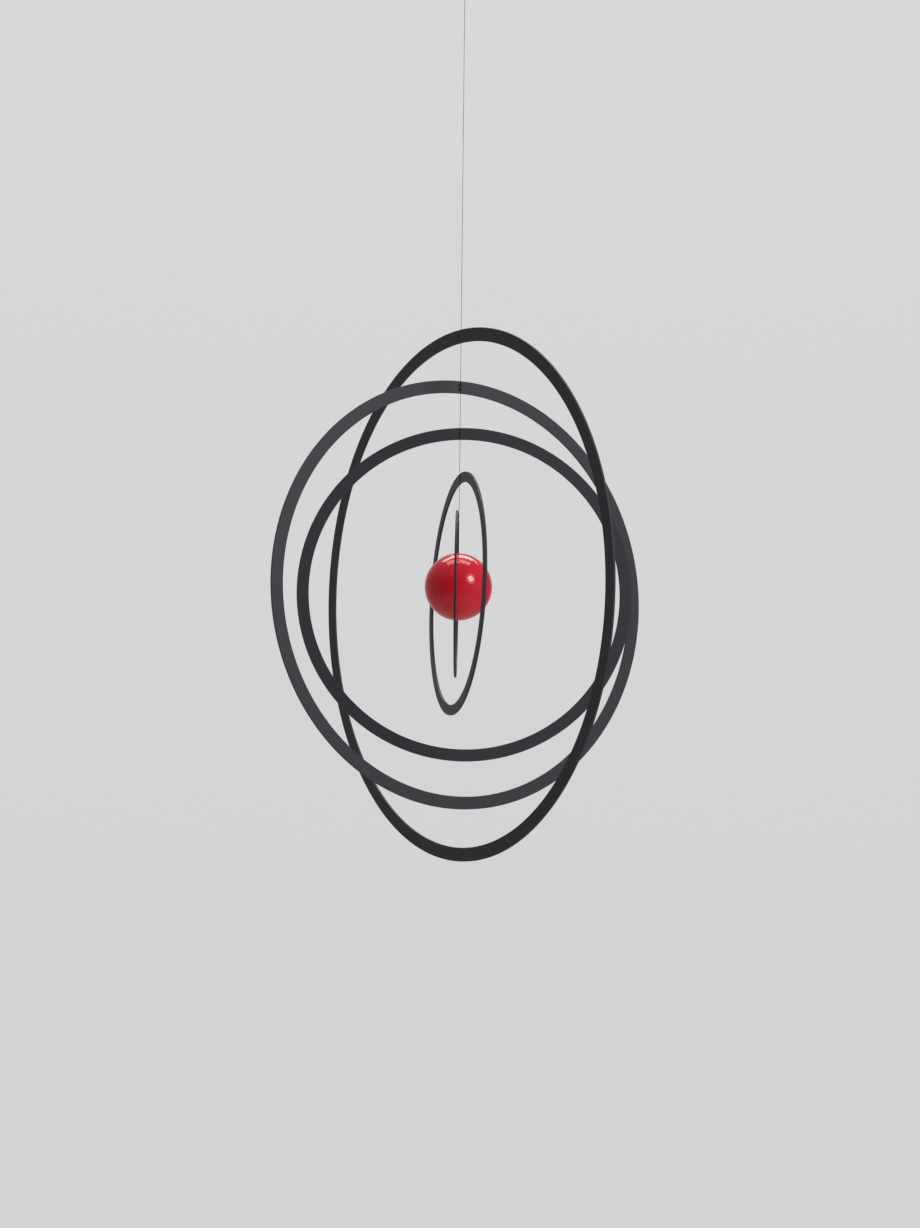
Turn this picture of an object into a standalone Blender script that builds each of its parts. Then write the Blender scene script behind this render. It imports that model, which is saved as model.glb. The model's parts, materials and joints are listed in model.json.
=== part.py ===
"""A hanging mobile: flat rings hung one inside the next on fine thread, with a red ball at the middle.

Run with blender --background --python part.py, or from Blender's text editor. Metres, +Z up.
The origin is where a hook bears on the thread loop at the top. Everything hangs on the vertical
line below it, the rings' centres are at one height, and the mobile is looked at along +Y.
"""

import math
from typing import NamedTuple

import bmesh
import bpy
from mathutils import Vector

# The ball, and the open space left round it
BALL_DIAMETER = 0.048
BALL_RISE = 0.005
BALL_HOLE_DEPTH = 0.008
BALL_GAP = 0.02885

# Width of each ring's flat band, and the open space from each ring to the next one out
INNER_BAND = 0.0067
INNER_TO_FOURTH = 0.0198
FOURTH_BAND = 0.0073
FOURTH_TO_THIRD = 0.02415
THIRD_BAND = 0.0085
THIRD_TO_SECOND = 0.0247
SECOND_BAND = 0.0090
SECOND_TO_OUTER = 0.02695
OUTER_BAND = 0.0097
RING_THICKNESS = 0.0016

# Threads, their knots, and the room between a thread and what it passes
THREAD_DIAMETER = 0.0003
HANGING_LENGTH = 0.2495
LOOP_LENGTH = 0.014
LOOP_WIDTH = 0.006
KNOT_WIDTH = 0.0011
KNOT_HEIGHT = 0.0010
THREAD_TO_RIM = 0.0014
CLEARANCE = 0.0003

# How each ring hangs, in degrees: its turn about the thread from facing along Y, its lean back
# from its hole, and its swing about the hole in its own plane. Its side is 1 where the thread
# runs down the face that looks along -Y before the turn, and -1 where it runs down the other.
OUTER_TURN = -57.9
OUTER_LEAN = 1.1
OUTER_SWING = -0.2
OUTER_SIDE = -1
SECOND_TURN = 31.45
SECOND_LEAN = -1.4
SECOND_SWING = 0.6
SECOND_SIDE = 1
THIRD_TURN = 4.4
THIRD_LEAN = -2.1
THIRD_SWING = 2.2
THIRD_SIDE = 1
FOURTH_TURN = -77.0
FOURTH_LEAN = -2.0
FOURTH_SWING = 2.3
FOURTH_SIDE = 1
INNER_TURN = 89.2
INNER_LEAN = 0.2
INNER_SWING = 0.0
INNER_SIDE = 1

# Fineness of the round shapes
RING_SAG = 0.00008
BALL_SEGMENTS = 40
BALL_RINGS = 20
KNOT_SEGMENTS = 8
KNOT_RINGS = 5
HOLE_SEGMENTS = 12
THREAD_BEVEL_RESOLUTION = 2
HANGING_POINTS = 42
BEND_STEPS = 3
LOOP_POINTS = 16

BLACK = (0.055, 0.053, 0.058, 1.0)
RED = (0.6, 0.008, 0.028, 1.0)
THREAD_GREY = (0.06, 0.06, 0.06, 1.0)


class Ring(NamedTuple):
    """One flat ring: its name, its two radii, how it hangs, in degrees, and its side of the thread."""

    name: str
    inner_radius: float
    outer_radius: float
    turn: float
    lean: float
    swing: float
    side: int

    @property
    def band(self):
        return self.outer_radius - self.inner_radius

    @property
    def middle_radius(self):
        return (self.outer_radius + self.inner_radius) / 2

    @property
    def drop(self):
        """How far the ring's centre is below its hole."""
        tilt = math.cos(math.radians(self.lean)) * math.cos(math.radians(self.swing))
        return self.middle_radius * tilt


def nested_rings():
    """The rings from the outermost in. Their radii are added up from the ball outwards."""
    radius = BALL_DIAMETER / 2
    rings = []
    for name, gap, band, turn, lean, swing, side in (
        ("inner", BALL_GAP, INNER_BAND, INNER_TURN, INNER_LEAN, INNER_SWING, INNER_SIDE),
        ("fourth", INNER_TO_FOURTH, FOURTH_BAND, FOURTH_TURN, FOURTH_LEAN, FOURTH_SWING, FOURTH_SIDE),
        ("third", FOURTH_TO_THIRD, THIRD_BAND, THIRD_TURN, THIRD_LEAN, THIRD_SWING, THIRD_SIDE),
        ("second", THIRD_TO_SECOND, SECOND_BAND, SECOND_TURN, SECOND_LEAN, SECOND_SWING, SECOND_SIDE),
        ("outer", SECOND_TO_OUTER, OUTER_BAND, OUTER_TURN, OUTER_LEAN, OUTER_SWING, OUTER_SIDE),
    ):
        inner_radius = radius + gap
        radius = inner_radius + band
        rings.append(Ring(name, inner_radius, radius, turn, lean, swing, side))
    return rings[::-1]


# Heights down the hanging line
LOOP_KNOT_Z = -LOOP_LENGTH
THREAD_TOP_Z = LOOP_KNOT_Z - KNOT_HEIGHT / 2 - CLEARANCE
THREAD_BOTTOM_Z = THREAD_TOP_Z - HANGING_LENGTH
OUTER_RIM_Z = THREAD_BOTTOM_Z - CLEARANCE - THREAD_TO_RIM

# The hole in a ring takes the thread above and the thread below, one over the other. Each comes
# along the band's near face, bends through the hole and ends in a knot on the far face.
STRAND_OFFSET = (THREAD_DIAMETER + CLEARANCE) / 2
RING_HOLE_DIAMETER = 2 * THREAD_DIAMETER + 3 * CLEARANCE
BALL_HOLE_DIAMETER = THREAD_DIAMETER + 2 * CLEARANCE
THREAD_TO_BAND = RING_THICKNESS / 2 + CLEARANCE + THREAD_DIAMETER / 2
KNOT_TO_BAND = RING_THICKNESS / 2 + CLEARANCE + KNOT_WIDTH / 2
BEND_RADIUS = THREAD_TO_BAND / 2


def clear_scene():
    for item in list(bpy.data.objects):
        bpy.data.objects.remove(item, do_unlink=True)


def finish_material(name, color, roughness):
    material = bpy.data.materials.new(name)
    material.use_nodes = True
    shader = material.node_tree.nodes["Principled BSDF"]
    shader.inputs["Base Color"].default_value = color
    shader.inputs["Roughness"].default_value = roughness
    shader.inputs["Metallic"].default_value = 0.0
    return material


def add_object(name, data, parent=None, material=None):
    """A new object in the scene, under its parent and with its material."""
    item = bpy.data.objects.new(name, data)
    bpy.context.scene.collection.objects.link(item)
    item.parent = parent
    if material is not None:
        data.materials.append(material)
    return item


def mesh_from(shape, name):
    mesh = bpy.data.meshes.new(name)
    shape.to_mesh(mesh)
    shape.free()
    mesh.shade_smooth()
    mesh.set_sharp_from_angle(angle=math.radians(35))
    return mesh


def as_helper(item):
    """Leaves a cutter or a joined piece out of the render, and draws it as wire."""
    item.hide_render = True
    item.display_type = "WIRE"
    return item


def combine(item, other, operation):
    modifier = item.modifiers.new(other.name, "BOOLEAN")
    modifier.object = as_helper(other)
    modifier.operation = operation
    modifier.solver = "EXACT"


def hole_cutter(name, parent, diameter, length, along_y):
    """A cylinder through its parent's origin, along Y, or along Z from the origin down."""
    shape = bmesh.new()
    bmesh.ops.create_cone(
        shape,
        cap_ends=True,
        segments=HOLE_SEGMENTS,
        radius1=diameter / 2,
        radius2=diameter / 2,
        depth=length,
    )
    cutter = add_object(name, mesh_from(shape, name), parent)
    if along_y:
        cutter.rotation_euler.x = math.pi / 2
    return cutter


def thread_curve(name, points, parent=None, material=None):
    """A round thread through the points, as a curve with filled ends."""
    curve = bpy.data.curves.new(name, "CURVE")
    curve.dimensions = "3D"
    curve.bevel_depth = THREAD_DIAMETER / 2
    curve.bevel_resolution = THREAD_BEVEL_RESOLUTION
    curve.use_fill_caps = True
    spline = curve.splines.new("POLY")
    spline.points.add(len(points) - 1)
    for spot, point in zip(spline.points, points):
        spot.co = (*point, 1.0)
    return add_object(name, curve, parent, material)


def thread_mesh(name, points, parent=None, material=None):
    """The same thread as a closed mesh, for joining to a knot."""
    curve = thread_curve(name + "_line", points)
    mesh = bpy.data.meshes.new_from_object(curve.evaluated_get(bpy.context.evaluated_depsgraph_get()))
    bpy.data.objects.remove(curve, do_unlink=True)
    shape = bmesh.new()
    shape.from_mesh(mesh)
    bpy.data.meshes.remove(mesh)
    bmesh.ops.remove_doubles(shape, verts=shape.verts, dist=THREAD_DIAMETER / 100)
    bmesh.ops.recalc_face_normals(shape, faces=shape.faces)
    return add_object(name, mesh_from(shape, name), parent, material)


def knot(name, parent, place, material):
    """A small tight knot at a place on its parent."""
    shape = bmesh.new()
    bmesh.ops.create_uvsphere(shape, u_segments=KNOT_SEGMENTS, v_segments=KNOT_RINGS, radius=0.5)
    bmesh.ops.scale(shape, vec=(KNOT_WIDTH, KNOT_WIDTH, KNOT_HEIGHT), verts=shape.verts)
    item = add_object(name, mesh_from(shape, name), parent, material)
    item.location = place
    return item


def straight(top_z, bottom_z, count):
    """Points down the hanging line."""
    return [Vector((0, 0, top_z + (bottom_z - top_z) * i / (count - 1))) for i in range(count)]


def bend_points():
    """A quarter turn from the thread's line into the hole, as distances from its corner."""
    angles = [math.pi / 2 * i / BEND_STEPS for i in range(BEND_STEPS + 1)]
    return [(BEND_RADIUS * (1 - math.cos(angle)), BEND_RADIUS * (1 - math.sin(angle))) for angle in angles]


def tie_points(ring, up, reach):
    """A thread's way from its end to the knot: along the near face, through the hole, up the far face.

    Heights are from the hole's centre, and reach is the height of the thread's end. up is 1 for the
    thread above, which crosses the band's outer edge, and -1 for the thread below, which crosses its
    inner edge. On the band the thread leans with it.
    """
    rim = ring.band / 2
    near = [(-THREAD_TO_BAND, rim)]
    near += [(y - THREAD_TO_BAND, STRAND_OFFSET + z) for y, z in bend_points()]
    far = [(KNOT_TO_BAND - y, STRAND_OFFSET + z) for y, z in reversed(bend_points())]
    slope = math.tan(math.radians(ring.lean))
    points = [Vector((0, 0, up * reach)), Vector((0, 0, up * (rim + THREAD_TO_RIM / 2)))]
    for y, z in near + far:
        points.append(Vector((0, ring.side * (y + THREAD_TO_BAND) - up * z * slope, up * z)))
    return points


def add_tie(name, ring, swivel, up, reach, material):
    """The thread that holds to a ring's hole, with its knot. Returns the knot, which carries both."""
    points = tie_points(ring, up, reach)
    tie = knot(name, swivel, points[-1], material)
    combine(tie, thread_mesh(name + "_line", points, swivel), "UNION")
    return tie


def ring_segments(radius):
    """Sides of a circle whose chords stay within the sag of it, as a multiple of four."""
    return 4 * math.ceil(math.pi / math.acos(1 - RING_SAG / radius) / 4)


def add_ring(ring, swivel, material):
    """A flat band spun about its centre, with its hole at the top. Its origin is the hole's centre.

    The band lies beside the thread, which runs straight down one of its faces.
    """
    name = ring.name + "_ring"
    half = RING_THICKNESS / 2
    shape = bmesh.new()
    corners = [
        shape.verts.new((0, y, z))
        for y, z in (
            (-half, -ring.band / 2),
            (half, -ring.band / 2),
            (half, ring.band / 2),
            (-half, ring.band / 2),
        )
    ]
    profile = [shape.edges.new((corners[i - 1], corners[i])) for i in range(4)]
    bmesh.ops.spin(
        shape,
        geom=corners + profile,
        cent=(0, 0, -ring.middle_radius),
        axis=(0, 1, 0),
        angle=2 * math.pi,
        steps=ring_segments(ring.outer_radius),
        use_merge=True,
    )
    bmesh.ops.recalc_face_normals(shape, faces=shape.faces)
    item = add_object(name, mesh_from(shape, name), swivel, material)
    item.location.y = ring.side * THREAD_TO_BAND
    item.rotation_mode = "YXZ"
    item.rotation_euler.y = -math.radians(ring.swing)
    item.rotation_euler.x = math.radians(ring.lean)
    cutter = hole_cutter(name + "_hole", item, RING_HOLE_DIAMETER, 3 * RING_THICKNESS, True)
    combine(item, cutter, "DIFFERENCE")
    return item


def add_swivel(name, parent, parent_place, place):
    """An empty on the hanging line. A place is its world height and its turn in degrees."""
    swivel = add_object(name, None, parent)
    swivel.location.z = place[0] - parent_place[0]
    swivel.rotation_euler.z = math.radians(place[1] - parent_place[1])
    return swivel


def add_hanging_loop(material):
    """The loop that a hook takes, and its knot. The loop's inside touches the origin at its crown."""
    crown = THREAD_DIAMETER / 2
    height = crown - LOOP_KNOT_Z
    points = []
    for i in range(LOOP_POINTS + 1):
        angle = 2 * math.pi * i / LOOP_POINTS
        rise = (1 - math.cos(angle)) / 2
        across = LOOP_WIDTH / 2 * math.sin(angle) * math.sqrt(rise)
        if i in (0, LOOP_POINTS):
            across = THREAD_DIAMETER * (0.7 if i == 0 else -0.7)
        points.append(Vector((across, 0, LOOP_KNOT_Z + height * rise)))
    item = knot("hanging_loop", None, Vector((0, 0, LOOP_KNOT_Z)), material)
    combine(item, thread_mesh("hanging_loop_thread", points), "UNION")
    return item


def add_ball(swivel, material):
    """The ball, with its origin at the top where its thread goes in."""
    radius = BALL_DIAMETER / 2
    shape = bmesh.new()
    bmesh.ops.create_uvsphere(shape, u_segments=BALL_SEGMENTS, v_segments=BALL_RINGS, radius=radius)
    bmesh.ops.translate(shape, vec=(0, 0, -radius), verts=shape.verts)
    ball = add_object("red_ball", mesh_from(shape, "red_ball"), swivel, material)
    cutter = hole_cutter("red_ball_hole", ball, BALL_HOLE_DIAMETER, 2 * BALL_HOLE_DEPTH, False)
    combine(ball, cutter, "DIFFERENCE")
    return ball


def build():
    clear_scene()
    black = finish_material("black_ring", BLACK, 0.45)
    red = finish_material("red_lacquer", RED, 0.12)
    grey = finish_material("thread", THREAD_GREY, 0.8)

    add_hanging_loop(grey)
    thread_curve("hanging_thread", straight(THREAD_TOP_Z, THREAD_BOTTOM_Z, HANGING_POINTS), None, grey)

    rings = nested_rings()
    outer = rings[0]
    outer_hole_z = OUTER_RIM_Z - outer.band / 2
    centre_z = outer_hole_z - outer.drop

    parent = None
    parent_place = (0.0, 0.0)
    end_above_z = THREAD_BOTTOM_Z
    for ring in rings:
        hole_z = centre_z + ring.drop
        place = (hole_z, ring.turn)
        swivel = add_swivel(ring.name + "_swivel", parent, parent_place, place)
        add_ring(ring, swivel, black)
        upper_name = "outer_ring_tie" if ring is outer else ring.name + "_thread"
        add_tie(upper_name, ring, swivel, 1, end_above_z - CLEARANCE - hole_z, grey)
        lower_reach = ring.band / 2 + THREAD_TO_RIM
        add_tie(ring.name + "_lower_tie", ring, swivel, -1, lower_reach, grey)
        end_above_z = hole_z - lower_reach
        parent, parent_place = swivel, place

    ball_top_z = centre_z + BALL_RISE + BALL_DIAMETER / 2
    swivel = add_swivel("ball_swivel", parent, parent_place, (ball_top_z, parent_place[1]))
    add_ball(swivel, red)
    top = end_above_z - CLEARANCE - ball_top_z
    thread_curve("ball_thread", straight(top, CLEARANCE - BALL_HOLE_DEPTH, 6), swivel, grey)


build()
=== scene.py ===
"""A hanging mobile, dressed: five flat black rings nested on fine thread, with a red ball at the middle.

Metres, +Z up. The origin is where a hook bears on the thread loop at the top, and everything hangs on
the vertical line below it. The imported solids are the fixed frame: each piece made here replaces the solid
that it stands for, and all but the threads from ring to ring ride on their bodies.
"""

import json
import math
from typing import NamedTuple

import bmesh
import bpy
from mathutils import Matrix, Vector


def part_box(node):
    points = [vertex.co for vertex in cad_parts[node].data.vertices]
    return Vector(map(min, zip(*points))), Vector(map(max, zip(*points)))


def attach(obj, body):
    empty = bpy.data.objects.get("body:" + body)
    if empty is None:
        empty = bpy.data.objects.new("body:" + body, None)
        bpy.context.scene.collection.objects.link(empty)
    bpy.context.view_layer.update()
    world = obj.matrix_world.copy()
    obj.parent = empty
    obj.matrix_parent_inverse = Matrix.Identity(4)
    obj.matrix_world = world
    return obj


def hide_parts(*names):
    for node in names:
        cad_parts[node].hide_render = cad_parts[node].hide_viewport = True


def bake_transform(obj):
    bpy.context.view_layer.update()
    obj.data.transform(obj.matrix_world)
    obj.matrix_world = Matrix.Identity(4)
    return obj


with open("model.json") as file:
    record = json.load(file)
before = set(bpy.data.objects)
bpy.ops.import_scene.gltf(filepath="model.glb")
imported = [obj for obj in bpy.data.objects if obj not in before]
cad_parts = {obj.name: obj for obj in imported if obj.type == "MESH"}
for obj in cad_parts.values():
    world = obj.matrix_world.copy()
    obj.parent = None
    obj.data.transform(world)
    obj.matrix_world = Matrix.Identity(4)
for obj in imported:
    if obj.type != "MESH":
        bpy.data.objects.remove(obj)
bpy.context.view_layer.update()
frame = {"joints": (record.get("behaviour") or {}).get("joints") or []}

bl_info = {
    "name": "Nested Ring Mobile",
    "version": (1, 0, 0),
    "blender": (4, 5, 0),
    "location": "View3D > Sidebar > Mobile",
    "description": "Builds a hanging mobile of nested black rings with a red ball",
    "category": "Object",
}

HANGER = "hanger"
HOLE_HEIGHT = {joint["child"]: joint["pos_m"][2] for joint in frame["joints"]}


class Ring(NamedTuple):
    """One flat ring: its name, its two radii and how it hangs from its hole, in degrees. The side is the
    one of the thread that its band is on, and the coil is the radius of the thread's turns on its faces.
    """

    name: str
    inner_radius: float
    outer_radius: float
    turn: float
    lean: float
    swing: float
    side: int
    coil: float

    @property
    def band(self):
        return self.outer_radius - self.inner_radius

    @property
    def middle_radius(self):
        return (self.outer_radius + self.inner_radius) / 2

    @property
    def body(self):
        return self.name + "_swivel"

    @property
    def upright(self):
        """The hanging line's frame at the ring's hole, turned with the ring."""
        lift = Matrix.Translation((0, 0, HOLE_HEIGHT[self.body]))
        return lift @ Matrix.Rotation(math.radians(self.turn), 4, "Z")

    @property
    def place(self):
        """The ring's own frame: its hole at the origin, its faces across Y and its centre below."""
        beside = Matrix.Translation((0, self.side * ASIDE, 0))
        lean = Matrix.Rotation(math.radians(self.lean), 4, "X")
        swing = Matrix.Rotation(math.radians(-self.swing), 4, "Y")
        return self.upright @ beside @ lean @ swing


RINGS = (
    Ring("outer", 0.17995, 0.18965, -57.9, 1.1, -0.2, -1, 0.00055),
    Ring("second", 0.144, 0.153, 31.45, -1.4, 0.6, 1, 0.0012),
    Ring("third", 0.1108, 0.1193, 4.4, -2.1, 2.2, 1, 0.0004),
    Ring("fourth", 0.07935, 0.08665, -77.0, -2.0, 2.3, 1, 0.0005),
    Ring("inner", 0.05285, 0.05955, 89.2, 0.2, 0.0, 1, 0.0004),
)
RING_THICKNESS = 0.0016
# From the hanging line to the middle of a band
ASIDE = 0.00125
BALL_BODY = "ball_swivel"
BALL_TOP_Z = HOLE_HEIGHT[BALL_BODY]


class Number:
    """A value in a node tree. Arithmetic on it adds Math nodes."""

    def __init__(self, tree, socket):
        self.tree = tree
        self.socket = socket

    def math(self, operation, *operands):
        node = self.tree.nodes.new("ShaderNodeMath")
        node.operation = operation
        for socket, operand in zip(node.inputs, operands):
            if isinstance(operand, Number):
                self.tree.links.new(operand.socket, socket)
            else:
                socket.default_value = operand
        return Number(self.tree, node.outputs[0])

    def __add__(self, other):
        return self.math("ADD", self, other)

    __radd__ = __add__

    def __rsub__(self, other):
        return self.math("SUBTRACT", other, self)

    def __mul__(self, other):
        return self.math("MULTIPLY", self, other)

    __rmul__ = __mul__


class Nodes:
    """The nodes of one material, or of the world."""

    def __init__(self, owner):
        owner.use_nodes = True
        self.tree = owner.node_tree
        self.tree.nodes.clear()

    def node(self, kind, settings=None, sockets=None):
        """A node of this type, with its settings made first, then its sockets' values and links."""
        node = self.tree.nodes.new("ShaderNode" + kind)
        for key, value in (settings or {}).items():
            setattr(node, key, value)
        for key, value in (sockets or {}).items():
            socket = node.inputs[key]
            if isinstance(value, Number):
                self.tree.links.new(value.socket, socket)
            elif isinstance(value, bpy.types.NodeSocket):
                self.tree.links.new(value, socket)
            else:
                socket.default_value = value
        return node

    def number(self, socket):
        return Number(self.tree, socket)

    def place(self, scale=(1.0, 1.0, 1.0)):
        """Object coordinates, scaled."""
        sockets = {"Vector": self.node("TexCoord").outputs["Object"], "Scale": scale}
        return self.node("Mapping", None, sockets).outputs[0]

    def noise(self, vector, scale, detail, roughness=0.5):
        sockets = {"Vector": vector, "Scale": scale, "Detail": detail, "Roughness": roughness}
        return self.number(self.node("TexNoise", None, sockets).outputs[0])

    def between(self, value, low, high):
        """0 below low, 1 above high and smooth between them."""
        settings = {"interpolation_type": "SMOOTHSTEP"}
        sockets = {"Value": value, "From Min": low, "From Max": high}
        return self.number(self.node("MapRange", settings, sockets).outputs[0])

    def mix(self, factor, one, other):
        """A colour from one to the other."""
        sockets = {0: factor, 6: one, 7: other}
        return self.node("Mix", {"data_type": "RGBA"}, sockets).outputs[2]

    def bump(self, height, strength, distance):
        sockets = {"Height": height, "Strength": strength, "Distance": distance}
        return self.node("Bump", None, sockets).outputs[0]

    def surface(self, sockets):
        shader = self.node("BsdfPrincipled", None, sockets)
        self.node("OutputMaterial", None, {"Surface": shader.outputs[0]})


# The scales of the patterns. A larger one is finer
BLOTCH_SCALE = 38.0
GRAIN_SCALE = 1600.0
CLOUD_SCALE = 90.0
FIBRE_SCALE = 9000.0
PLY_SCALE = 600.0
# Fibres run along the thread, so their pattern is drawn out on that axis
FIBRE_STRETCH = (1.0, 1.0, 0.12)


def shade(color, amount):
    """A colour made lighter or darker, as RGBA."""
    return (*(channel * amount for channel in color), 1.0)


def satin_black(settings):
    """Satin black paint on the rings: soft blotches, a fine grain and an uneven sheen."""
    material = bpy.data.materials.new("satin_black")
    nodes = Nodes(material)
    place = nodes.place()
    blotches = nodes.noise(place, BLOTCH_SCALE, 3.0, 0.55)
    grain = nodes.noise(place, GRAIN_SCALE, 2.0, 0.6)
    tone = blotches * 0.7 + grain * 0.3
    color = nodes.mix(tone, shade(settings.color, 0.8), shade(settings.color, 1.2))
    roughness = blotches * 0.1 + grain * 0.04 + (settings.roughness - 0.07)
    nodes.surface(
        {
            "Base Color": color,
            "Roughness": roughness,
            "Specular IOR Level": 0.42,
            "Normal": nodes.bump(grain, 0.06, 0.00003),
        }
    )
    return material


def glossy_red(settings):
    """Red lacquer on the ball: a cloudy pigment under a clear glossy coat that isn't quite even."""
    material = bpy.data.materials.new("glossy_red")
    nodes = Nodes(material)
    clouds = nodes.noise(nodes.place(), CLOUD_SCALE, 3.0)
    color = nodes.mix(clouds, shade(settings.color, 0.86), shade(settings.color, 1.12))
    nodes.surface(
        {
            "Base Color": color,
            "Roughness": clouds * 0.08 + (settings.roughness - 0.04),
            "Specular IOR Level": 0.0,
            "Coat Weight": 1.0,
            "Coat Roughness": 0.08,
        }
    )
    return material


def thread_fibre(settings):
    """Dark twisted thread: plies that wind up it, and loose fibres that catch the light. Its colour follows
    their bump: painted shade in the grooves between plies and a painted sheen on the crests and fibres.
    """
    material = bpy.data.materials.new("thread_fibre")
    nodes = Nodes(material)
    fibres = nodes.noise(nodes.place(FIBRE_STRETCH), FIBRE_SCALE, 2.0, 0.6)
    plies = nodes.node(
        "TexWave",
        {"wave_type": "BANDS", "bands_direction": "DIAGONAL", "wave_profile": "SIN"},
        {"Vector": nodes.place(), "Scale": PLY_SCALE, "Distortion": 1.5, "Detail": 1.0},
    ).outputs[1]
    height = nodes.number(plies) * 0.6 + fibres * 0.4
    # The colour follows this height: painted shade in the ply grooves, painted sheen on the crests and
    # fibres
    color = nodes.mix(height, shade(settings.color, 0.6), shade(settings.color, 1.7))
    nodes.surface(
        {
            "Base Color": color,
            "Roughness": fibres * 0.2 + 0.6,
            "Specular IOR Level": 0.25,
            "Normal": nodes.bump(height, 0.6, 0.00004),
        }
    )
    return material


def finish_for(name, make, settings):
    """The material of this name, made the first time that it is asked for."""
    return bpy.data.materials.get(name) or make(settings)


def add_object(name, data, material=None):
    item = bpy.data.objects.new(name, data)
    bpy.context.scene.collection.objects.link(item)
    if material is not None:
        data.materials.append(material)
    return item


def evaluated_mesh(item):
    """The mesh that the object shows, modifiers included, as new mesh data. The object goes."""
    bpy.context.view_layer.update()
    shown = item.evaluated_get(bpy.context.evaluated_depsgraph_get())
    mesh = bpy.data.meshes.new_from_object(shown)
    bpy.data.objects.remove(item, do_unlink=True)
    return mesh


def add_piece(name, shape, matrix, material, keep_flat=True):
    """A finished piece from a bmesh, with its place in its mesh."""
    bmesh.ops.recalc_face_normals(shape, faces=shape.faces)
    shape.transform(matrix)
    mesh = bpy.data.meshes.new(name)
    shape.to_mesh(mesh)
    shape.free()
    mesh.shade_smooth()
    item = add_object(name, mesh, material)
    if keep_flat:
        item.modifiers.new("flat_faces", "WEIGHTED_NORMAL").keep_sharp = True
    return item


# Faces that meet at more than this make an edge, and not a curve
SHARP_ANGLE = math.radians(50)


def sharp_edges(shape, near=None):
    """The edges that two faces meet at sharply, within near of the origin where it is given."""
    found = []
    for edge in shape.edges:
        if len(edge.link_faces) != 2 or edge.calc_face_angle(0.0) < SHARP_ANGLE:
            continue
        if near is None or all(vert.co.length < near for vert in edge.verts):
            found.append(edge)
    return found


def round_edges(shape, edges, offset, segments):
    bmesh.ops.bevel(
        shape,
        geom=edges,
        offset=offset,
        segments=segments,
        profile=0.5,
        affect="EDGES",
        clamp_overlap=True,
        material=-1,
    )


def bore(shape, diameter, length, turn):
    """The shape with a round hole through the origin, made by a cutter turned from the Z axis."""
    mesh = bpy.data.meshes.new("bored")
    shape.to_mesh(mesh)
    shape.free()
    item = add_object("bored", mesh)
    tool = bmesh.new()
    bmesh.ops.create_cone(
        tool,
        cap_ends=True,
        segments=HOLE_SEGMENTS,
        radius1=diameter / 2,
        radius2=diameter / 2,
        depth=length,
        matrix=turn,
    )
    tool_mesh = bpy.data.meshes.new("cutter")
    tool.to_mesh(tool_mesh)
    tool.free()
    cutter = add_object("cutter", tool_mesh)
    modifier = item.modifiers.new("bore", "BOOLEAN")
    modifier.object = cutter
    modifier.operation = "DIFFERENCE"
    modifier.solver = "EXACT"
    bored = bmesh.new()
    bored.from_mesh(evaluated_mesh(item))
    bpy.data.objects.remove(cutter, do_unlink=True)
    return bored


RING_STEPS = 320
HOLE_SEGMENTS = 32
EDGE_SEGMENTS = 3
HOLE_EDGE_SEGMENTS = 2
BALL_STEPS = 96
BALL_SIDES = 144
MERGE_DISTANCE = 0.000001
# The edges of the ball's mouth are no lower than this under its top
MOUTH_REACH = 0.001


def add_ring(ring, settings, material):
    """A flat band spun about its centre, its edges eased, with its hole at the top."""
    half = RING_THICKNESS / 2
    shape = bmesh.new()
    ends = ((-1, -1), (1, -1), (1, 1), (-1, 1))
    corners = [shape.verts.new((0, half * side, ring.band / 2 * end)) for side, end in ends]
    section = [shape.edges.new((corners[i - 1], corners[i])) for i in range(4)]
    bmesh.ops.spin(
        shape,
        geom=corners + section,
        cent=(0, 0, -ring.middle_radius),
        axis=(0, 1, 0),
        angle=2 * math.pi,
        steps=RING_STEPS,
        use_merge=True,
    )
    bmesh.ops.recalc_face_normals(shape, faces=shape.faces)
    round_edges(shape, sharp_edges(shape), settings.edge_radius, EDGE_SEGMENTS)
    shape = bore(shape, settings.hole, 4 * RING_THICKNESS, Matrix.Rotation(math.pi / 2, 4, "X"))
    rims = sharp_edges(shape, settings.hole)
    round_edges(shape, rims, settings.edge_radius, HOLE_EDGE_SEGMENTS)
    piece = add_piece(ring.name + "_band", shape, ring.place, material)
    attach(piece, ring.body)
    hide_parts(ring.name + "_ring")
    return piece


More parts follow.
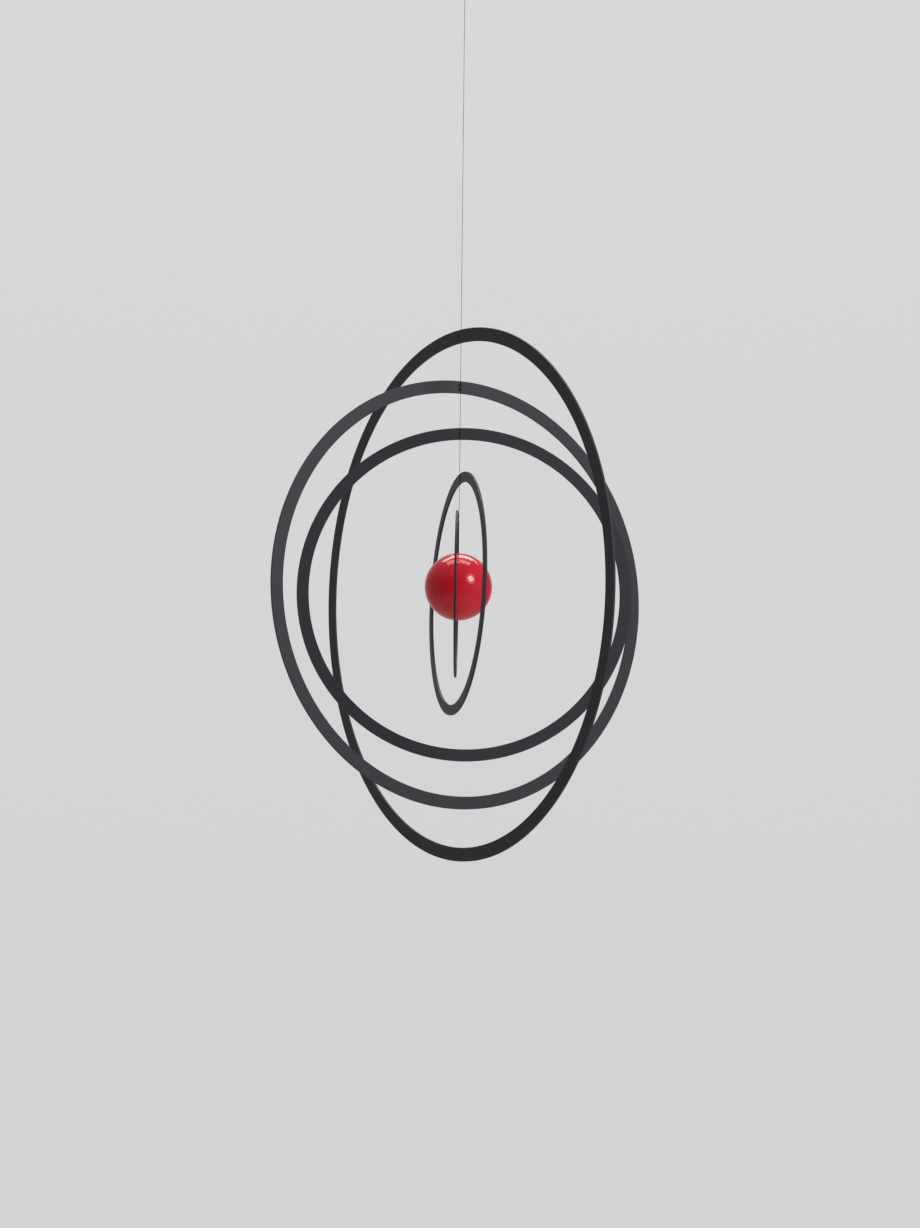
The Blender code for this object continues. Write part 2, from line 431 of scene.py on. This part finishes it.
def add_ball(settings, material):
    """A ball with a hole in its top for the thread, its mouth eased."""
    radius = settings.diameter / 2
    mouth = math.asin(settings.hole / 2 / radius)
    shape = bmesh.new()
    start = shape.verts.new((math.sin(mouth) * radius, 0, math.cos(mouth) * radius))
    bmesh.ops.spin(
        shape,
        geom=[start],
        cent=(0, 0, 0),
        axis=(0, 1, 0),
        angle=math.pi - mouth,
        steps=BALL_STEPS,
    )
    shape.verts.ensure_lookup_table()
    top = max(shape.verts, key=lambda vert: vert.co.z)
    wall = shape.verts.new((top.co.x, 0, top.co.z - settings.hole_depth))
    floor = shape.verts.new((0, 0, wall.co.z))
    shape.edges.new((top, wall))
    shape.edges.new((wall, floor))
    bmesh.ops.spin(
        shape,
        geom=list(shape.verts) + list(shape.edges),
        cent=(0, 0, 0),
        axis=(0, 0, 1),
        angle=2 * math.pi,
        steps=BALL_SIDES,
        use_merge=True,
    )
    bmesh.ops.remove_doubles(shape, verts=shape.verts, dist=MERGE_DISTANCE)
    bmesh.ops.recalc_face_normals(shape, faces=shape.faces)
    lowest = max(vert.co.z for vert in shape.verts) - MOUTH_REACH
    mouth_edges = [edge for edge in sharp_edges(shape) if edge.verts[0].co.z > lowest]
    round_edges(shape, mouth_edges, settings.mouth_radius, EDGE_SEGMENTS)
    place = Matrix.Translation((0, 0, BALL_TOP_Z - radius))
    piece = add_piece("lacquered_ball", shape, place, material, keep_flat=False)
    piece.data.set_sharp_from_angle(angle=SHARP_ANGLE)
    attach(piece, BALL_BODY)
    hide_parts("red_ball")
    return piece


# How far past a band's edge its thread is back on the hanging line
THREAD_TO_RIM = 0.0014
# The turns of thread on a band's faces. They start at this share of their radius
COIL_TURNS = 3
COIL_POINTS = 8
COIL_START = 0.4
# How far each of the two threads in a hole keeps to its side, in thread diameters
HOLE_SIDE = 0.4
# The hook's loop and its knot
KNOT_HEIGHT = 0.0010
KNOT_TURNS = 3
KNOT_POINTS = 9
LOOP_LENGTH = 0.014
LOOP_WIDTH = 0.006
LOOP_POINTS = 24
# About how far apart the points of a straight thread are
THREAD_STEP = 0.0008


def knot_winding(diameter, z):
    """Points of a thread wound up round the line, from the knot's lower end."""
    rise = KNOT_HEIGHT - diameter
    points = []
    for i in range(KNOT_TURNS * KNOT_POINTS + 1):
        share = i / (KNOT_TURNS * KNOT_POINTS)
        angle = 2 * math.pi * KNOT_TURNS * share
        across = Vector((math.sin(angle), math.cos(angle), 0)) * diameter
        points.append(across + Vector((0, 0, z + rise * (share - 0.5))))
    return points


def face_coil(ring, diameter, up):
    """Turns of thread drawn tight on a face, from the hole outwards, as (across, off, height)."""
    points = []
    for i in range(COIL_TURNS * COIL_POINTS + 1):
        share = i / (COIL_TURNS * COIL_POINTS)
        angle = 2 * math.pi * COIL_TURNS * share
        radius = ring.coil * (COIL_START + (1 - COIL_START) * share)
        height = up * (diameter + ring.coil - radius * math.cos(angle))
        points.append((radius * math.sin(angle), diameter * share, height))
    return points


def tie_route(ring, diameter, up):
    """From past the band's edge, along its near face, through its hole and round on its far face.

    up is 1 for the thread above the ring, which crosses its outer edge, and -1 for the one below.
    """
    rim = ring.band / 2
    face = (RING_THICKNESS + diameter) / 2
    coil = face_coil(ring, diameter, up)
    over_coil = up * 2 * (ring.coil + diameter)
    near = [(0, -face, up * rim), (0, -face - diameter, over_coil)]
    near += [(x, -face - off, z) for x, off, z in reversed(coil)]
    aside = up * diameter * HOLE_SIDE
    through = [(aside, -face / 2, aside), (aside, face / 2, aside)]
    far = [(x, face + off, z) for x, off, z in coil]
    plumb = [ring.upright @ Vector((0, 0, up * (rim + past))) for past in (THREAD_TO_RIM, THREAD_TO_RIM / 2)]
    return plumb + [ring.place @ Vector((x, ring.side * y, z)) for x, y, z in near + through + far]


def thread_curve(name, points, diameter, material=None):
    """A round thread whose line is a smooth curve drawn by the points."""
    curve = bpy.data.curves.new(name, "CURVE")
    curve.dimensions = "3D"
    curve.bevel_depth = diameter / 2
    curve.bevel_resolution = 3
    curve.resolution_u = 3
    curve.use_fill_caps = True
    spline = curve.splines.new("NURBS")
    spline.points.add(len(points) - 1)
    for spot, point in zip(spline.points, points):
        spot.co = (*point, 1.0)
    spline.order_u = 3
    spline.use_endpoint_u = True
    return add_object(name, curve, material)


def add_thread(name, points, diameter, material):
    """The same thread as a closed mesh."""
    mesh = evaluated_mesh(thread_curve(name + "_line", points, diameter))
    shape = bmesh.new()
    shape.from_mesh(mesh)
    bpy.data.meshes.remove(mesh)
    bmesh.ops.remove_doubles(shape, verts=shape.verts, dist=diameter / 200)
    piece = add_piece(name, shape, Matrix.Identity(4), material, keep_flat=False)
    piece.data.set_sharp_from_angle(angle=SHARP_ANGLE)
    return piece


def line_points(top_z, bottom_z):
    """Points down the hanging line, from top to bottom."""
    count = max(2, round((top_z - bottom_z) / THREAD_STEP))
    return [Vector((0, 0, top_z + (bottom_z - top_z) * i / count)) for i in range(count + 1)]


def loop_points(diameter):
    """The hook's loop: wound into its knot, up one side, over the crown and down the other side."""
    knot_z = -LOOP_LENGTH
    crown = diameter / 2
    height = crown - knot_z
    route = knot_winding(diameter, knot_z)[::-1]
    for i in range(LOOP_POINTS + 1):
        angle = 2 * math.pi * i / LOOP_POINTS
        rise = (1 - math.cos(angle)) / 2
        across = LOOP_WIDTH / 2 * math.sin(angle) * math.sqrt(rise)
        route.append(Vector((across, 0, knot_z + height * rise)))
    return route


def length_setting(name, description, default):
    """A setting that is a length in metres."""
    kind = {"subtype": "DISTANCE", "unit": "LENGTH"}
    return bpy.props.FloatProperty(name=name, description=description, default=default, **kind)


def share_setting(name, description, default):
    """A setting from 0.05 to 1."""
    kind = {"min": 0.05, "max": 1.0, "subtype": "FACTOR"}
    return bpy.props.FloatProperty(name=name, description=description, default=default, **kind)


def color_setting(name, description, default):
    """A setting that is a colour."""
    kind = {"size": 3, "subtype": "COLOR"}
    return bpy.props.FloatVectorProperty(name=name, description=description, default=default, **kind)


def angle_setting(name, description, degrees):
    """A setting that is an angle, given in degrees."""
    default = math.radians(degrees)
    return bpy.props.FloatProperty(name=name, description=description, default=default, subtype="ANGLE")


class RingSettings(bpy.types.PropertyGroup):
    """The rings' shared details."""

    edge_radius: length_setting("Edge radius", "Rounding of the edges", 0.00022)
    hole: length_setting("Hole", "Diameter of the thread hole", 0.00075)
    color: color_setting("Paint", "Colour of the satin paint", (0.034, 0.0315, 0.043))
    roughness: share_setting("Roughness", "How matt the paint is", 0.55)


class BallSettings(bpy.types.PropertyGroup):
    """The ball's size and finish."""

    diameter: length_setting("Diameter", "Diameter of the ball", 0.048)
    hole: length_setting("Hole", "Diameter of the thread hole", 0.0009)
    hole_depth: length_setting("Hole depth", "Depth of the thread hole", 0.008)
    mouth_radius: length_setting("Mouth radius", "Rounding of the hole's mouth", 0.0002)
    color: color_setting("Lacquer", "Colour of the lacquer", (0.74, 0.006, 0.027))
    roughness: share_setting("Roughness", "Sheen under the clear coat", 0.36)


class ThreadSettings(bpy.types.PropertyGroup):
    """The threads' size and colour."""

    diameter: length_setting("Diameter", "Diameter of the thread", 0.0003)
    hanging_length: length_setting("Hanging length", "From the loop's knot to the outer ring", 0.2495)
    color: color_setting("Thread", "Colour of the thread", (0.02, 0.02, 0.021))


class StageSettings(bpy.types.PropertyGroup):
    """The camera and the floor."""

    distance: length_setting("Distance", "Camera to the rings' centres", 1.9916)
    pitch: angle_setting("Pitch", "How far the camera looks up", 4.6)
    roll: angle_setting("Roll", "How far the camera leans over", 0.62)
    lens: bpy.props.FloatProperty(
        name="Lens", description="Focal length of the camera", default=82.085, subtype="DISTANCE_CAMERA"
    )
    floor_z: length_setting("Floor", "Height of the floor", -1.7)
    floor_radius: length_setting("Floor radius", "Radius of the floor", 4.0)


# The centre that the rings share, and how far right of the camera's axis and above it they are seen
RINGS_CENTRE = Vector((0, 0, -0.45561482))
AIM_RIGHT = -0.001209
AIM_UP = 0.014283
SENSOR_WIDTH = 36.0


class Softbox(NamedTuple):
    """A soft light: how far it is from the rings' centres, its power and its size.

    It is round and this wide, or a panel where its depth is given.
    """

    name: str
    away: tuple
    power: float
    width: float
    depth: float = 0.0


SOFTBOXES = (
    Softbox("round_key", (2.09, -2.09, 1.23), 25.0, 1.05),
    Softbox("round_glow", (2.16, -2.16, 1.27), 17.0, 1.9),
    Softbox("low_softbox", (0.45, 1.5, 1.74), 5.0, 1.8, 0.24),
    Softbox("high_softbox", (-0.1, 1.2, 2.02), 21.0, 2.2, 0.6),
    Softbox("overhead_softbox", (0.0, 0.16, 2.25), 19.0, 2.2, 0.74),
)


class Glow(NamedTuple):
    """Light from one part of the room: the way to it, and how strong it is. It fades from the larger
    to the smaller cosine of the angle off that way.
    """

    toward: tuple
    cosines: tuple
    strength: float


GLOWS = (
    Glow((0.90, -0.45, 0.0), (0.3, 1.0), 0.3),
    Glow((0.0, 1.0, 0.0), (0.6, 1.0), 0.32),
    Glow((0.0, 0.0, 1.0), (0.2, 0.95), 0.24),
    Glow((0.0, 0.0, -1.0), (0.2, 0.9), 0.36),
    Glow((-0.90, 0.44, 0.0), (0.3, 1.0), 0.18),
)
# The light that comes from every side
ROOM_LIGHT = 0.12
# The backdrop is a little lighter above than below, between these heights of a unit direction
BACKDROP = 0.648
BACKDROP_RISE = 0.035
BACKDROP_HEIGHTS = (-0.2, 0.35)

FLOOR_SEGMENTS = 96
FLOOR_SCALE = 3.0
FLOOR_DARK = (0.60, 0.60, 0.605, 1.0)
FLOOR_PALE = (0.64, 0.64, 0.645, 1.0)
# The shares of its radius where the floor starts to fade and where it is gone
FLOOR_FADE = (0.3, 0.95)


def add_camera(settings):
    """The camera, a little below the rings' centres and looking up at them."""
    camera = bpy.data.cameras.new("camera")
    camera.lens = settings.lens
    camera.sensor_width = SENSOR_WIDTH
    item = add_object("camera", camera)
    turn = Matrix.Rotation(math.pi / 2 + settings.pitch, 4, "X") @ Matrix.Rotation(settings.roll, 4, "Z")
    back = turn @ Vector((-AIM_RIGHT, -AIM_UP, settings.distance))
    item.matrix_world = Matrix.Translation(RINGS_CENTRE + back) @ turn
    bpy.context.scene.camera = item


def add_light(softbox):
    """The light of this softbox. It faces the rings' centres and isn't itself seen."""
    light = bpy.data.lights.new(softbox.name, "AREA")
    light.shape = "RECTANGLE" if softbox.depth else "DISK"
    light.size = softbox.width
    if softbox.depth:
        light.size_y = softbox.depth
    light.energy = softbox.power
    away = Vector(softbox.away)
    item = add_object(softbox.name, light)
    item.location = RINGS_CENTRE + away
    item.rotation_euler = away.to_track_quat("Z", "Y").to_euler()
    item.visible_camera = False


def add_studio_world():
    """A plain grey backdrop for the camera, and for the light a room that is brighter to the right."""
    world = bpy.data.worlds.new("studio")
    bpy.context.scene.world = world
    nodes = Nodes(world)
    direction = nodes.node("TexCoord").outputs["Generated"]
    room = ROOM_LIGHT
    for glow in GLOWS:
        sockets = {0: direction, 1: Vector(glow.toward).normalized()}
        cosine = nodes.node("VectorMath", {"operation": "DOT_PRODUCT"}, sockets).outputs[1]
        room = room + glow.strength * nodes.between(nodes.number(cosine), *glow.cosines)
    height = nodes.number(nodes.node("SeparateXYZ", None, {"Vector": direction}).outputs[2])
    backdrop = BACKDROP + BACKDROP_RISE * nodes.between(height, *BACKDROP_HEIGHTS)
    camera = nodes.number(nodes.node("LightPath").outputs["Is Camera Ray"])
    strength = camera * backdrop + (1 - camera) * room
    background = nodes.node("Background", None, {"Color": (1.0, 1.0, 1.0, 1.0), "Strength": strength})
    nodes.node("OutputWorld", None, {"Surface": background.outputs[0]})


def add_floor(settings):
    """A pale round floor, well below the mobile, that fades out into the backdrop."""
    shape = bmesh.new()
    bmesh.ops.create_circle(shape, cap_ends=True, segments=FLOOR_SEGMENTS, radius=settings.floor_radius)
    material = bpy.data.materials.new("pale_floor")
    nodes = Nodes(material)
    place = nodes.place()
    reach = nodes.number(nodes.node("VectorMath", {"operation": "LENGTH"}, {0: place}).outputs[1])
    fade = nodes.between(reach, *(settings.floor_radius * part for part in FLOOR_FADE))
    paint = nodes.mix(nodes.noise(place, FLOOR_SCALE, 3.0), FLOOR_DARK, FLOOR_PALE)
    matt = nodes.node("BsdfDiffuse", None, {"Color": paint})
    clear = nodes.node("BsdfTransparent")
    mixed = nodes.node("MixShader", None, {0: fade, 1: matt.outputs[0], 2: clear.outputs[0]})
    nodes.node("OutputMaterial", None, {"Surface": mixed.outputs[0]})
    mesh = bpy.data.meshes.new("floor")
    shape.transform(Matrix.Translation((0, 0, settings.floor_z)))
    shape.to_mesh(mesh)
    shape.free()
    add_object("floor", mesh, material)


class MOBILE_OT_stage(bpy.types.Operator):
    """Sets up the camera, the studio light and the floor"""

    bl_idname = "mobile.stage"
    bl_label = "Set the Stage"

    def execute(self, context):
        settings = context.scene.mobile_stage
        context.scene.view_settings.view_transform = "Standard"
        add_camera(settings)
        add_studio_world()
        for softbox in SOFTBOXES:
            add_light(softbox)
        add_floor(settings)
        return {"FINISHED"}


class MOBILE_OT_hanging_thread(bpy.types.Operator):
    """Makes the hanging thread, from its loop at the top to its end in the outer ring's hole"""

    bl_idname = "mobile.hanging_thread"
    bl_label = "Make the Hanging Thread"

    def execute(self, context):
        settings = context.scene.mobile_thread
        material = finish_for("thread_fibre", thread_fibre, settings)
        diameter = settings.diameter
        loop = add_thread("thread_loop", loop_points(diameter), diameter, material)
        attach(loop, HANGER)
        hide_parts("hanging_loop")
        # Both ends run on a little, into the loop's knot and into the outer ring's own thread
        thread_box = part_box("hanging_thread")
        bottom, top = thread_box[0].z, thread_box[1].z
        points = line_points(top + KNOT_HEIGHT / 2, bottom - THREAD_TO_RIM / 4)[::-1]
        thread = thread_curve("plumb_thread", points, diameter, material)
        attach(thread, HANGER)
        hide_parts("hanging_thread")
        tie = add_thread("outer_tie", tie_route(RINGS[0], diameter, 1), diameter, material)
        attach(tie, RINGS[0].body)
        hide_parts("outer_ring_tie")
        return {"FINISHED"}


class MOBILE_OT_rings(bpy.types.Operator):
    """Makes the five flat rings"""

    bl_idname = "mobile.rings"
    bl_label = "Make the Rings"

    def execute(self, context):
        settings = context.scene.mobile_rings
        material = finish_for("satin_black", satin_black, settings)
        for ring in RINGS:
            add_ring(ring, settings, material)
        return {"FINISHED"}


class MOBILE_OT_link_threads(bpy.types.Operator):
    """Makes the short threads from ring to ring, and the one that carries the ball"""

    bl_idname = "mobile.link_threads"
    bl_label = "Make the Link Threads"

    def execute(self, context):
        settings = context.scene.mobile_thread
        material = finish_for("thread_fibre", thread_fibre, settings)
        diameter = settings.diameter
        for above, below in zip(RINGS, RINGS[1:]):
            upper = tie_route(above, diameter, -1)[::-1]
            lower = tie_route(below, diameter, 1)
            start, end = upper[-1], lower[0]
            route = upper + line_points(start.z, end.z)[1:-1] + lower
            thread = add_thread(above.name + "_to_" + below.name + "_thread", route, diameter, material)
            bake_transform(thread)
            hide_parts(above.name + "_lower_tie", below.name + "_thread")
        last = RINGS[-1]
        upper = tie_route(last, diameter, -1)[::-1]
        start = upper[-1]
        route = upper + line_points(start.z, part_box("ball_thread")[0].z)[1:]
        thread = add_thread("inner_to_ball_thread", route, diameter, material)
        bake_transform(thread)
        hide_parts(last.name + "_lower_tie", "ball_thread")
        return {"FINISHED"}


class MOBILE_OT_ball(bpy.types.Operator):
    """Makes the red ball"""

    bl_idname = "mobile.ball"
    bl_label = "Make the Ball"

    def execute(self, context):
        settings = context.scene.mobile_ball
        add_ball(settings, finish_for("glossy_red", glossy_red, settings))
        return {"FINISHED"}


STEPS = (MOBILE_OT_stage, MOBILE_OT_hanging_thread, MOBILE_OT_rings, MOBILE_OT_link_threads, MOBILE_OT_ball)
GROUPS = {
    "mobile_stage": StageSettings,
    "mobile_thread": ThreadSettings,
    "mobile_rings": RingSettings,
    "mobile_ball": BallSettings,
}


class MOBILE_PT_panel(bpy.types.Panel):
    """The mobile's settings and steps"""

    bl_label = "Nested Ring Mobile"
    bl_idname = "MOBILE_PT_panel"
    bl_space_type = "VIEW_3D"
    bl_region_type = "UI"
    bl_category = "Mobile"

    def draw(self, context):
        for name, group in GROUPS.items():
            box = self.layout.box()
            for prop in group.__annotations__:
                box.prop(getattr(context.scene, name), prop)
        for step in STEPS:
            self.layout.operator(step.bl_idname)


def register():
    for cls in (*GROUPS.values(), *STEPS, MOBILE_PT_panel):
        bpy.utils.register_class(cls)
    for name, group in GROUPS.items():
        setattr(bpy.types.Scene, name, bpy.props.PointerProperty(type=group))


def unregister():
    for name in GROUPS:
        delattr(bpy.types.Scene, name)
    for cls in reversed((*GROUPS.values(), *STEPS, MOBILE_PT_panel)):
        bpy.utils.unregister_class(cls)


def main():
    register()
    bpy.ops.mobile.stage()
    bpy.ops.mobile.hanging_thread()
    bpy.ops.mobile.rings()
    bpy.ops.mobile.link_threads()
    bpy.ops.mobile.ball()
    bpy.context.view_layer.update()


if __name__ == "__main__":
    main()
